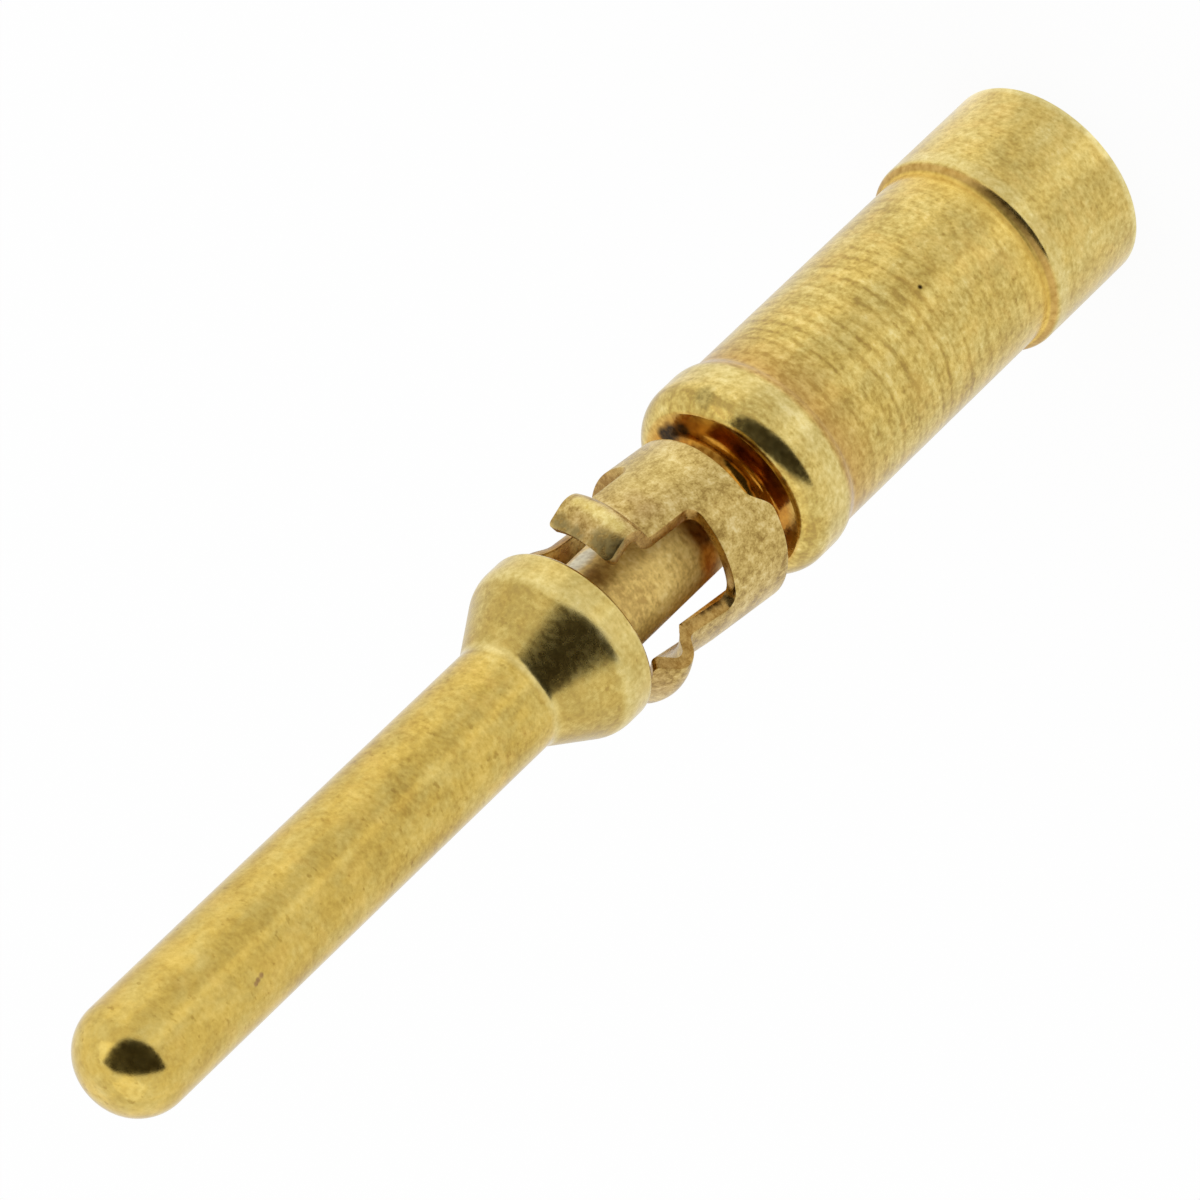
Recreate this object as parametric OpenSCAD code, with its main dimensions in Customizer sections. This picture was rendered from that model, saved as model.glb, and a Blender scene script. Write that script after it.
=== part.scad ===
// Crimp contact pin: a turned, gold-plated body with a loose retention clip captive on its neck.
// The axis is +Z with the pin's tip at the top. The origin is the centre of the rear face.

/* [Contact pin] */
// Diameter of the pin that enters the mating socket
pin_d = 1.575; // [1.4:0.005:1.8]
// Length of the pin in front of the flange's cone
pin_len = 8; // [6:0.1:11]
// Radius of the rounded tip
tip_r = 0.7; // [0.3:0.01:0.7]

/* [Flange] */
// Largest diameter of the flange
flange_d = 2.6; // [2.3:0.02:3]
// Length of the flange's rim, from its rear face to the start of the round
rim_len = 0.31; // [0.2:0.01:0.5]
// Radius that blends the rim into the cone
flange_round = 0.545; // [0.4:0.005:0.7]
// Angle between the flange's cone and the axis
cone_angle = 30; // [22:0.5:45]
// Fillet where the cone runs out into the pin
cone_fillet = 0.25; // [0.1:0.01:0.4]
// Rounding of the flange's rear edge
flange_edge = 0.1; // [0.03:0.01:0.15]

/* [Neck] */
// Diameter of the neck that carries the clip
neck_d = 1.4; // [1.1:0.02:1.5]
// Length of the neck from the bead to the flange
neck_len = 3.11; // [2.7:0.01:4]
// Fillet at the rear root of the neck
neck_fillet = 0.25; // [0.1:0.01:0.35]
// Fillet at the front root of the neck
neck_front_fillet = 0.1; // [0.03:0.01:0.15]

/* [Bead] */
// Height of the bead's crest above the barrel
bead_rise = 0.09; // [0.06:0.005:0.2]
// Length of the bead from the barrel to its front face
bead_len = 1.02; // [0.95:0.01:1.3]
// Radius of the bead's front shoulder
bead_front_r = 0.375; // [0.25:0.005:0.4]
// Radius of the bead's rear shoulder
bead_back_r = 0.55; // [0.4:0.01:0.7]
// Fillet between the barrel and the bead's rear shoulder
bead_fillet = 0.25; // [0.1:0.01:0.35]
// Radial step from the bead's crest to the flat face in front of it
bead_step = 0.27; // [0.15:0.01:0.3]

/* [Wire barrel] */
// Outer diameter of the wire barrel
barrel_d = 2.79; // [2.4:0.01:3.2]
// Length of the barrel between the collar and the bead
barrel_len = 4.18; // [3:0.01:6]
// Thickness of the barrel's wall round the wire bore
barrel_wall = 0.255; // [0.22:0.005:0.4]
// Depth of the wire bore to the start of its drill point
bore_depth = 5.5; // [4:0.1:5.6]
// Included angle of the drill point
drill_angle = 118; // [90:1:140]
// Chamfer at the mouth of the bore
mouth_chamfer = 0.12; // [0.05:0.01:0.2]
// Diameter of the inspection hole in the barrel's far side
peep_d = 0.8; // [0.5:0.05:1]
// Distance from the bore's bottom to the centre of the inspection hole
peep_inset = 0.7; // [0.6:0.05:1.5]

/* [Collar] */
// Height of the collar at the rear end above the barrel
collar_rise = 0.1175; // [0.1:0.0025:0.2]
// Length of the collar at its full diameter
collar_len = 1.71; // [1:0.01:2.5]
// Edge break on the collar's rear rim
collar_edge = 0.03; // [0.01:0.01:0.06]
// Radius of the collar's front shoulder
collar_round = 0.12; // [0.05:0.01:0.2]
// Fillet at the foot of that shoulder
collar_fillet = 0.06; // [0.02:0.01:0.07]
// Steepest angle of the shoulder to the axis
collar_slope = 50; // [40:1:50]

/* [Clip] */
// Thickness of the clip's sheet
sheet_t = 0.15; // [0.1:0.01:0.18]
// Radial gap between the neck and the inside of the clip's ring
ring_gap = 0.41; // [0.36:0.01:0.6]
// Axial play of the clip between the bead and the flange
clip_play = 0.62; // [0.5:0.01:0.9]
// Share of that play that lies behind the clip
play_behind = 0.5; // [0.4:0.01:0.65]
// Length of the ring from its rear edge to the windows
ring_len = 0.98; // [0.75:0.01:1.1]
// Width of the open seam of the ring
seam_gap = 0.5; // [0.4:0.05:1.1]
// Depth of the cut-back in the ring's rear edge
cutback = 0.26; // [0.15:0.01:0.35]
// Angle from the middle tine to the step where the cut-back starts
cutback_angle = 45; // [40:1:65]
// Half of the angle over which the rear edge steps back
cutback_step = 10; // [4:0.5:14]

/* [Tines] */
// Width of a tine
tine_w = 1.06; // [0.9:0.01:1.2]
// Fillet at a tine's root, and length of its straight foot
root_fillet = 0.17; // [0.08:0.01:0.2]
// Angle from the middle tine to each of the other two
tine_pitch = 120; // [115:1:125]
// Distance that a tine dips inward from the ring to its waist
tine_dip = 0.03; // [0:0.01:0.1]
// Height of a tine's crest above its waist
crest_rise = 0.37; // [0.25:0.01:0.42]
// Axial run of the locking shoulder, from the waist to the crest
shoulder_run = 0.22; // [0.15:0.01:0.3]
// Axial run of the lead-in ramp, from the crest to the free end
ramp_run = 0.42; // [0.3:0.01:0.6]
// Distance that the ramp falls inward
ramp_drop = 0.3; // [0.15:0.01:0.35]
// Radius of the bends at the middle of the sheet
bend_r = 0.2; // [0.14:0.01:0.22]
// Rounding of a tine's free corners
tine_corner = 0.1; // [0.03:0.01:0.2]

/* [Rest pose of the clip] */
// Angle to which the free clip is turned
clip_turn = -56.5; // [-180:0.5:180]
// Lean of the loose clip on the neck
clip_lean = 6.4; // [0:0.2:7]
// Sideways shift of the loose clip
clip_shift = 0.02; // [0:0.01:0.1]

/* [Hidden] */
$fn = 128;
plated_gold = "#cfae5e";
clip_gold = "#c9b074";
through = 0.05;
arc_steps = 10;

pin_r = pin_d / 2;
flange_r = flange_d / 2;
neck_r = neck_d / 2;
barrel_r = barrel_d / 2;
bore_r = barrel_r - barrel_wall;
bead_r = barrel_r + bead_rise;
bead_face_r = bead_r - bead_step;
collar_r = barrel_r + collar_rise;

// Stations along the axis
collar_bends = collar_round + collar_fillet;
collar_cone = (collar_rise - collar_bends * (1 - cos(collar_slope))) / tan(collar_slope);
barrel_z = collar_len + collar_bends * sin(collar_slope) + collar_cone;
bead_z = barrel_z + barrel_len;
neck_z = bead_z + bead_len;
flange_z = neck_z + neck_len;
crest_z = flange_z + rim_len;
cone_z = crest_z + flange_round * sin(cone_angle);
cone_r = flange_r - flange_round * (1 - cos(cone_angle));
pin_z = cone_z + (cone_r - pin_r) / tan(cone_angle);
tip_z = pin_z + pin_len;

// Radii of the clip, and its stations measured from its rear edge
ring_in = neck_r + ring_gap;
ring_mid = ring_in + sheet_t / 2;
ring_out = ring_in + sheet_t;
clip_len = neck_len - clip_play;
clip_z = neck_z + clip_play * play_behind;
window_z = ring_len;
waist_z = clip_len - ramp_run - shoulder_run;
clip_top = clip_len + sheet_t / 2;
reach = ring_out + crest_rise + through;

// Points on an arc about c, as [radius, height] pairs
function arc(c, r, from, to) =
    [for (i = [0:arc_steps]) let (a = from + (to - from) * i / arc_steps) c + r * [cos(a), sin(a)]];

// Unit vector from p to q
function heading(p, q) = (q - p) / norm(q - p);

// Left-hand normal of a direction
function left(u) = [-u[1], u[0]];

// One face of a bent sheet: corner i of path p becomes an arc about the bend's own centre
function bend(p, i, side) =
    let (u = heading(p[i - 1], p[i]), v = heading(p[i], p[i + 1]))
    let (turn = atan2(u[0] * v[1] - u[1] * v[0], u * v), way = sign(turn))
    let (c = p[i] - u * bend_r * tan(abs(turn) / 2) + left(u) * bend_r * way)
    let (start = atan2(-way * left(u)[1], -way * left(u)[0]))
    arc(c, bend_r - way * side, start, start + turn);

// One face of the sheet along path p, at a distance side to the left of its middle
function sheet_face(p, side) =
    let (last = len(p) - 1)
    concat(
        [p[0] + left(heading(p[0], p[1])) * side],
        [for (i = [1:last - 1]) each bend(p, i, side)],
        [p[last] + left(heading(p[last - 1], p[last])) * side]);

function reversed(p) = [for (i = [len(p) - 1:-1:0]) p[i]];

// Half section of the turned body, from the rear face to the tip
module body_section() {
    bead_top = bead_r - bead_front_r;
    face_turn = acos((bead_face_r - bead_top) / bead_front_r);
    front_z = neck_z - bead_front_r * sin(face_turn);
    back_turn = acos(1 - bead_rise / (bead_back_r + bead_fillet));
    back_z = bead_z + (bead_back_r + bead_fillet) * sin(back_turn);
    fillet_turn = cone_fillet * tan(cone_angle / 2);
    polygon(concat(
        [[0, 0], [collar_r - collar_edge, 0], [collar_r, collar_edge]],
        arc([collar_r - collar_round, collar_len], collar_round, 0, collar_slope),
        arc([barrel_r + collar_fillet, barrel_z], collar_fillet, 180 + collar_slope, 180),
        arc([barrel_r + bead_fillet, bead_z], bead_fillet, 180, 180 - back_turn),
        arc([bead_r - bead_back_r, back_z], bead_back_r, -back_turn, 0),
        arc([bead_top, front_z], bead_front_r, 0, face_turn),
        arc([neck_r + neck_fillet, neck_z + neck_fillet], neck_fillet, 270, 180),
        arc([neck_r + neck_front_fillet, flange_z - neck_front_fillet], neck_front_fillet, 180, 90),
        arc([flange_r - flange_edge, flange_z + flange_edge], flange_edge, -90, 0),
        arc([flange_r - flange_round, crest_z], flange_round, 0, cone_angle),
        arc([pin_r + cone_fillet, pin_z + fillet_turn], cone_fillet, 180 + cone_angle, 180),
        arc([pin_r - tip_r, tip_z - tip_r], tip_r, 0, 90),
        [[0, tip_z]]));
}

// Blind wire bore with its mouth chamfer and drill point
module wire_bore() {
    point_len = bore_r / tan(drill_angle / 2);
    translate([0, 0, -through]) cylinder(r = bore_r, h = bore_depth + through);
    translate([0, 0, bore_depth]) cylinder(r1 = bore_r, r2 = 0, h = point_len);
    translate([0, 0, -through])
        cylinder(r1 = bore_r + mouth_chamfer + through, r2 = bore_r, h = mouth_chamfer + through);
}

// Cross hole through the barrel's far wall, which shows how far the wire has gone in
module inspection_hole() {
    translate([0, 0, bore_depth - peep_inset]) rotate([-90, 0, 0])
        cylinder(d = peep_d, h = collar_r + through);
}

// Turned body in one piece: collar, wire barrel, bead, neck, flange and pin
module contact_body() {
    color(plated_gold) difference() {
        rotate_extrude() body_section();
        wire_bore();
        inspection_hole();
    }
}

// Section of the sheet at a tine: straight ring and foot, waist, locking shoulder, crest and lead-in ramp
module sheet_section() {
    waist_r = ring_mid - tine_dip;
    crest_r = waist_r + crest_rise;
    path = [
        [ring_mid, 0],
        [ring_mid, window_z + root_fillet],
        [waist_r, waist_z],
        [crest_r, waist_z + shoulder_run],
        [crest_r - ramp_drop, clip_len]];
    polygon(concat(sheet_face(path, -sheet_t / 2), reversed(sheet_face(path, sheet_t / 2))));
}

// Outline of one tine from outside, with root fillets
module tine_outline() {
    half = tine_w / 2;
    right = concat(
        [[half + root_fillet, window_z - through]],
        arc([half + root_fillet, window_z + root_fillet], root_fillet, 270, 180),
        [[half, clip_top + through]]);
    polygon(concat(right, [for (p = reversed(right)) [-p[0], p[1]]]));
}

// What rounds off one free corner of a tine, seen square to the ramp, with the corner's end at y = 0
module corner_outline() {
    edge = tine_w / 2;
    polygon(concat(
        arc([edge - tine_corner, -tine_corner], tine_corner, 0, 90),
        [[edge - tine_corner, through], [edge + through, through], [edge + through, -tine_corner]]));
}

// Rounding of the two free corners of the middle tine, at the side of its curved end
module free_corners() {
    end_r = ring_mid - tine_dip + crest_rise - ramp_drop;
    side_y = (tine_w - tine_corner) / 2;
    side_x = sqrt(end_r * end_r - side_y * side_y);
    translate([side_x, 0, clip_len]) rotate([0, -atan2(ramp_drop, ramp_run), 0]) rotate([90, 0, 90])
        linear_extrude(2 * sheet_t, center = true)
            for (side = [0, 1]) mirror([side, 0]) corner_outline();
}

// What is stamped out between the tines, in front of the ring
module windows() {
    difference() {
        translate([0, 0, window_z]) cylinder(r = reach, h = clip_top - window_z);
        for (a = [-tine_pitch, 0, tine_pitch])
            rotate([0, 0, a]) rotate([90, 0, 90]) linear_extrude(reach + through) tine_outline();
    }
}

// Smooth step in the ring's rear edge at the start of the cut-back
module cutback_end() {
    half = ring_out * sin(cutback_step);
    ramp = [for (i = [0:arc_steps]) let (f = i / arc_steps)
        [half * (2 * f - 1), cutback * (1 - cos(180 * f)) / 2]];
    rotate([90, 0, 90]) linear_extrude(reach)
        polygon(concat(ramp, [[2 * half, cutback], [2 * half, -through], [-half, -through]]));
}

// Shallow cut-back of the ring's rear edge, from its step round to the seam
module rear_cutback() {
    rotate([0, 0, -cutback_angle]) cutback_end();
    rotate([0, 0, cutback_step - cutback_angle])
        rotate_extrude(angle = 180 + cutback_angle - cutback_step)
            translate([neck_r, -through]) square([reach - neck_r, cutback + through]);
}

// Open seam of the ring, on -X
module seam() {
    translate([-reach, -seam_gap / 2, -through]) cube([reach, seam_gap, window_z + 2 * through]);
}

// Clip before it leans on the neck, with its rear edge at z = 0 and its middle tine on +X
module formed_clip() {
    difference() {
        rotate_extrude() sheet_section();
        windows();
        for (a = [-tine_pitch, 0, tine_pitch])
            rotate([0, 0, a]) free_corners();
        rear_cutback();
        seam();
    }
}

// Retention clip: one stamped and rolled sheet with three locking tines, loose on the neck
module retention_clip() {
    color(clip_gold)
        translate([-clip_shift, 0, clip_z + clip_len / 2]) rotate([0, clip_lean, 0])
            rotate([0, 0, clip_turn]) translate([0, 0, -clip_len / 2]) formed_clip();
}

contact_body();
retention_clip();
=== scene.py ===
"""Gold-plated crimp contact pin with its loose retention clip, standing in a white studio."""
import math

import bmesh
import bpy
from mathutils import Matrix, Vector


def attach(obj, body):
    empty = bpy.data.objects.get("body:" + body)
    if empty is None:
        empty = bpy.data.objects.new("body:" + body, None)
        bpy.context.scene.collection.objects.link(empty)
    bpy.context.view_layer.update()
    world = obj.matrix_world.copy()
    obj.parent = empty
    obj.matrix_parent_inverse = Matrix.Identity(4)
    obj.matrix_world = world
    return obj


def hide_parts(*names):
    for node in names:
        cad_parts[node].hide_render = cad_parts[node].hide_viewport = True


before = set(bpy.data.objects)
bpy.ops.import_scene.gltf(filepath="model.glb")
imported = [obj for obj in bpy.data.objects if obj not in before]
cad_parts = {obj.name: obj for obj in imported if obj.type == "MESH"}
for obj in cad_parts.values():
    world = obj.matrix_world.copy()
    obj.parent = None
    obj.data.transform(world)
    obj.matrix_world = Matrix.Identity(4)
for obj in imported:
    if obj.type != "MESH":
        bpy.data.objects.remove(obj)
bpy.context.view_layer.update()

MM = 0.001
# Lengths in millimetres below this one count as nothing
TINY = 1e-6

# Sizes of the turned body in millimetres and degrees, the same as in the part's source
PIN_R, PIN_LEN, TIP_R = 0.7875, 8, 0.7
FLANGE_R, RIM_LEN, FLANGE_ROUND, FLANGE_EDGE = 1.3, 0.31, 0.545, 0.1
CONE_ANGLE, CONE_FILLET = 30, 0.25
NECK_R, NECK_LEN, NECK_FILLET, NECK_FRONT_FILLET = 0.7, 3.11, 0.25, 0.1
BEAD_RISE, BEAD_LEN, BEAD_STEP, BEAD_FILLET = 0.09, 1.02, 0.27, 0.25
BEAD_FRONT_R, BEAD_BACK_R = 0.375, 0.55
BARREL_R, BARREL_LEN, BORE_R, BORE_DEPTH, DRILL_ANGLE = 1.395, 4.18, 1.14, 5.5, 118
MOUTH_CHAMFER, PEEP_R, PEEP_Z = 0.12, 0.4, 4.8
COLLAR_RISE, COLLAR_LEN, COLLAR_EDGE = 0.1175, 1.71, 0.03
COLLAR_ROUND, COLLAR_FILLET, COLLAR_SLOPE = 0.12, 0.06, 50


def sin(degrees):
    return math.sin(math.radians(degrees))


def cos(degrees):
    return math.cos(math.radians(degrees))


def tan(degrees):
    return math.tan(math.radians(degrees))


# Stations of the body along its axis
COLLAR_R = BARREL_R + COLLAR_RISE
COLLAR_BENDS = COLLAR_ROUND + COLLAR_FILLET
COLLAR_CONE = (COLLAR_RISE - COLLAR_BENDS * (1 - cos(COLLAR_SLOPE))) / tan(COLLAR_SLOPE)
BARREL_Z = COLLAR_LEN + COLLAR_BENDS * sin(COLLAR_SLOPE) + COLLAR_CONE
BEAD_Z = BARREL_Z + BARREL_LEN
BEAD_R = BARREL_R + BEAD_RISE
NECK_Z = BEAD_Z + BEAD_LEN
FLANGE_Z = NECK_Z + NECK_LEN
CREST_Z = FLANGE_Z + RIM_LEN
CONE_Z = CREST_Z + FLANGE_ROUND * sin(CONE_ANGLE)
CONE_R = FLANGE_R - FLANGE_ROUND * (1 - cos(CONE_ANGLE))
PIN_Z = CONE_Z + (CONE_R - PIN_R) / tan(CONE_ANGLE)
TIP_Z = PIN_Z + PIN_LEN

# Sizes of the clip in millimetres and degrees, with its rear edge at height 0 and its
# middle tine on +X
SHEET_T, RING_MID, RING_LEN, SEAM = 0.15, 1.185, 0.98, 0.5
CLIP_PLAY, PLAY_BEHIND = 0.62, 0.5
CUTBACK, CUTBACK_ANGLE, CUTBACK_STEP = 0.26, 45, 10
TINE_HALF, ROOT_FILLET, TINE_CORNER = 0.53, 0.17, 0.1
TINE_DIP, CREST_RISE, SHOULDER_RUN, BEND_R = 0.03, 0.37, 0.22, 0.2
RAMP_RUN, RAMP_DROP = 0.42, 0.3
TINE_ANGLES = (-120, 0, 120)
CLIP_TURN, CLIP_LEAN, CLIP_SHIFT = -56.5, 6.4, 0.02
CLIP_LEN = NECK_LEN - CLIP_PLAY
CLIP_Z = NECK_Z + CLIP_PLAY * PLAY_BEHIND
WAIST_Z = CLIP_LEN - RAMP_RUN - SHOULDER_RUN

# Fineness of the body's mesh. The patch is the wall round the inspection hole: a field of
# the grid whose cells run in rings round the hole. Support points lie inside both ends of a
# straight stretch, by the inset in millimetres or by a share of a short stretch. Edges are
# sharp from an angle in degrees on.
COLUMNS = 288
PATCH_COLS, PATCH_ROWS, PATCH_H, PATCH_RINGS, PATCH_CROWD = 46, 20, 0.62, 7, 0.7
SUPPORT_INSET, SUPPORT_SHARE = 0.02, 0.3
BODY_SHARP = 16

# Fineness of the clip's mesh. The bends are those at the foot, the waist and the crest.
TINE_COLS, WINDOW_COLS, SEAM_COLS, RING_ROWS = 28, 44, 10, 14
ROUND_STEP, BEND_STEPS, STRAIGHT_ROWS, RAMP_ROWS = 9, (3, 18, 24), 5, 6
CLIP_SHARP = 35

# Rounding of the stamped sheet's edges in millimetres; the angle in degrees from which an edge
# gets it, and the angle from which one stays sharp in the shading
EDGE_BREAK, BREAK_FROM, BREAK_SHARP = 0.012, 50, 60


def arc(centre, radius, start, end, steps):
    """Points [radius, height] on an arc from angle start to angle end, in degrees."""
    turns = [math.radians(start + (end - start) * i / steps) for i in range(steps + 1)]
    return [(centre[0] + radius * math.cos(t), centre[1] + radius * math.sin(t)) for t in turns]


def run(start, end):
    """Two points just inside a straight stretch, so that its shading stays straight."""
    share = min(SUPPORT_INSET / math.dist(start, end), SUPPORT_SHARE)
    lerp = lambda f: tuple(a + (b - a) * f for a, b in zip(start, end))
    return [lerp(share), lerp(1 - share)]


def joined(*parts):
    """One profile from arcs and corner points, with support points in every straight stretch."""
    points = [parts[0][0]]
    for part in parts:
        for i, p in enumerate(part):
            if math.dist(p, points[-1]) < TINY:
                continue
            if i == 0:
                points += run(points[-1], p)
            points.append(p)
    return points


def smooth(mesh, sharp):
    """Smooth shading, with sharp edges from an angle in degrees on."""
    mesh.polygons.foreach_set("use_smooth", [True] * len(mesh.polygons))
    mesh.set_sharp_from_angle(angle=math.radians(sharp))


def mesh_object(name, verts, faces, sharp):
    """A closed mesh, given in millimetres, as a smooth-shaded object in metres."""
    mesh = bpy.data.meshes.new(name)
    mesh.from_pydata([Vector(v) * MM for v in verts], [], faces)
    work = bmesh.new()
    work.from_mesh(mesh)
    bmesh.ops.recalc_face_normals(work, faces=work.faces)
    work.to_mesh(mesh)
    work.free()
    smooth(mesh, sharp)
    obj = bpy.data.objects.new(name, mesh)
    bpy.context.scene.collection.objects.link(obj)
    return obj


def body_profile():
    """The body's section as one line: out of the bore, round the outside and up to the tip."""
    bead_top = BEAD_R - BEAD_FRONT_R
    face_turn = math.degrees(math.acos((BEAD_R - BEAD_STEP - bead_top) / BEAD_FRONT_R))
    front_z = NECK_Z - BEAD_FRONT_R * sin(face_turn)
    back_turn = math.degrees(math.acos(1 - BEAD_RISE / (BEAD_BACK_R + BEAD_FILLET)))
    back_z = BEAD_Z + (BEAD_BACK_R + BEAD_FILLET) * sin(back_turn)
    fillet_z = PIN_Z + CONE_FILLET * tan(CONE_ANGLE / 2)
    drill_tip = BORE_DEPTH + BORE_R / tan(DRILL_ANGLE / 2)
    edge, front = COLLAR_EDGE, NECK_FRONT_FILLET
    peep = [PEEP_Z + PATCH_H * (2 * i / PATCH_ROWS - 1) for i in range(PATCH_ROWS + 1)]
    return joined(
        [(0, drill_tip)], [(BORE_R, BORE_DEPTH)], [(BORE_R, z) for z in reversed(peep)],
        [(BORE_R, MOUTH_CHAMFER)], [(BORE_R + MOUTH_CHAMFER, 0)],
        arc((COLLAR_R - edge, edge), edge, -90, 0, steps=6),
        arc((COLLAR_R - COLLAR_ROUND, COLLAR_LEN), COLLAR_ROUND, 0, COLLAR_SLOPE, steps=12),
        arc((BARREL_R + COLLAR_FILLET, BARREL_Z), COLLAR_FILLET, 180 + COLLAR_SLOPE, 180,
            steps=10),
        [(BARREL_R, z) for z in peep],
        arc((BARREL_R + BEAD_FILLET, BEAD_Z), BEAD_FILLET, 180, 180 - back_turn, steps=8),
        arc((BEAD_R - BEAD_BACK_R, back_z), BEAD_BACK_R, -back_turn, 0, steps=12),
        arc((bead_top, front_z), BEAD_FRONT_R, 0, face_turn, steps=24),
        arc((NECK_R + NECK_FILLET, NECK_Z + NECK_FILLET), NECK_FILLET, 270, 180, steps=16),
        arc((NECK_R + front, FLANGE_Z - front), front, 180, 90, steps=10),
        arc((FLANGE_R - FLANGE_EDGE, FLANGE_Z + FLANGE_EDGE), FLANGE_EDGE, -90, 0, steps=12),
        arc((FLANGE_R - FLANGE_ROUND, CREST_Z), FLANGE_ROUND, 0, CONE_ANGLE, steps=16),
        arc((PIN_R + CONE_FILLET, fillet_z), CONE_FILLET, 180 + CONE_ANGLE, 180, steps=12),
        arc((PIN_R - TIP_R, TIP_Z - TIP_R), TIP_R, 0, 90, steps=40),
        [(0, TIP_Z)])


def build_body():
    """The turned body as one closed lathe mesh, with the inspection hole in its wall on +Y."""
    profile = body_profile()
    verts, faces, index = [], [], {}

    def corner(row, col):
        radius, height = profile[row]
        key = (row, 0) if radius < TINY else (row, col % COLUMNS)
        if key not in index:
            turn = 2 * math.pi * key[1] / COLUMNS
            index[key] = len(verts)
            verts.append((radius * math.cos(turn), radius * math.sin(turn), height))
        return index[key]

    # The profile runs down the bore and up the outside, so it meets the inner patch at its
    # upper end and the outer patch at its lower end
    first = COLUMNS // 4 - PATCH_COLS // 2
    last = first + PATCH_COLS
    tops = [i for i, p in enumerate(profile) if abs(p[1] - (PEEP_Z + PATCH_H)) < TINY]
    starts = (tops[0], tops[1] - PATCH_ROWS)
    for row in range(len(profile) - 1):
        in_patch = any(s <= row < s + PATCH_ROWS for s in starts)
        for col in range(COLUMNS):
            if in_patch and first <= col < last:
                continue
            cell = [corner(row, col), corner(row, col + 1),
                    corner(row + 1, col + 1), corner(row + 1, col)]
            faces.append(list(dict.fromkeys(cell)))

    rims = []
    for start, upward in zip(starts, (False, True)):
        radius = profile[start][0]
        low, high = (start, start + PATCH_ROWS) if upward else (start + PATCH_ROWS, start)
        step = 1 if upward else -1
        loop = [(low, c) for c in range(first, last)]
        loop += [(r, last) for r in range(low, high, step)]
        loop += [(high, c) for c in range(last, first, -1)]
        loop += [(r, first) for r in range(high, low, -step)]
        ring = [corner(*k) for k in loop]
        edge = [(verts[v][0], verts[v][2] - PEEP_Z) for v in ring]
        rim = [(PEEP_R * x / math.hypot(x, z), PEEP_R * z / math.hypot(x, z)) for x, z in edge]
        for k in range(1, PATCH_RINGS + 1):
            share = (k / PATCH_RINGS) ** PATCH_CROWD
            inner = []
            for (x0, z0), (x1, z1) in zip(edge, rim):
                x, z = x0 + (x1 - x0) * share, z0 + (z1 - z0) * share
                inner.append(len(verts))
                verts.append((x, math.sqrt(radius ** 2 - x ** 2), PEEP_Z + z))
            faces += [[ring[i - 1], ring[i], inner[i], inner[i - 1]] for i in range(len(ring))]
            ring = inner
        rims.append(ring)
    inner, outer = rims
    faces += [[inner[i - 1], inner[i], outer[i], outer[i - 1]] for i in range(len(inner))]
    return mesh_object("turned_body", verts, faces, BODY_SHARP)


def sheet_lines():
    """Inner and outer line of the bent sheet from the windows up, and a tine's half widths."""
    waist_r = RING_MID - TINE_DIP
    crest_r = waist_r + CREST_RISE
    foot = RING_LEN + ROOT_FILLET
    path = [Vector(p) for p in (
        (RING_MID, 0), (RING_MID, foot), (waist_r, WAIST_Z),
        (crest_r, WAIST_Z + SHOULDER_RUN), (crest_r - RAMP_DROP, CLIP_LEN))]
    left = lambda u: Vector((-u[1], u[0]))
    middle, widths = [], []
    for a in range(0, 90, ROUND_STEP):
        middle.append((Vector((RING_MID, foot - ROOT_FILLET * cos(a))), Vector((-1, 0))))
        widths.append(TINE_HALF + ROOT_FILLET * (1 - sin(a)))
    for i, steps in enumerate(BEND_STEPS, 1):
        u, v = (path[i] - path[i - 1]).normalized(), (path[i + 1] - path[i]).normalized()
        turn = math.atan2(u[0] * v[1] - u[1] * v[0], u.dot(v))
        way = math.copysign(1, turn)
        centre = path[i] - u * BEND_R * math.tan(abs(turn) / 2) + left(u) * BEND_R * way
        spins = [Matrix.Rotation(turn * k / steps, 2) for k in range(steps + 1)]
        gap = [f / STRAIGHT_ROWS for f in range(1, STRAIGHT_ROWS)] if i > 1 else []
        start = centre - left(u) * BEND_R * way
        middle += [(middle[-1][0].lerp(start, f), left(u)) for f in gap]
        middle += [(centre - spin @ left(u) * BEND_R * way, spin @ left(u)) for spin in spins]
    along = (path[4] - path[3]).normalized()
    begin, corner = middle[-1][0], path[4] - along * TINE_CORNER
    middle += [(begin.lerp(corner, f / RAMP_ROWS), left(along)) for f in range(1, RAMP_ROWS + 1)]
    widths += [TINE_HALF] * (len(middle) - len(widths))
    for a in range(ROUND_STEP, 90 + 1, ROUND_STEP):
        middle.append((corner + along * TINE_CORNER * sin(a), left(along)))
        widths.append(TINE_HALF - TINE_CORNER * (1 - cos(a)))
    half = SHEET_T / 2
    return [p + n * half for p, n in middle], [p - n * half for p, n in middle], widths


def rear_edge(turn, radius):
    """Height of the ring's rear edge at an angle from the middle tine, in degrees."""
    if turn > CUTBACK_STEP - CUTBACK_ANGLE:
        return CUTBACK
    if turn < -CUTBACK_STEP - CUTBACK_ANGLE:
        return 0
    half = (RING_MID + SHEET_T / 2) * sin(CUTBACK_STEP)
    along = radius * sin(turn + CUTBACK_ANGLE)
    share = min(max((along / half + 1) / 2, 0), 1)
    return CUTBACK * (1 - math.cos(math.pi * share)) / 2


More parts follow.
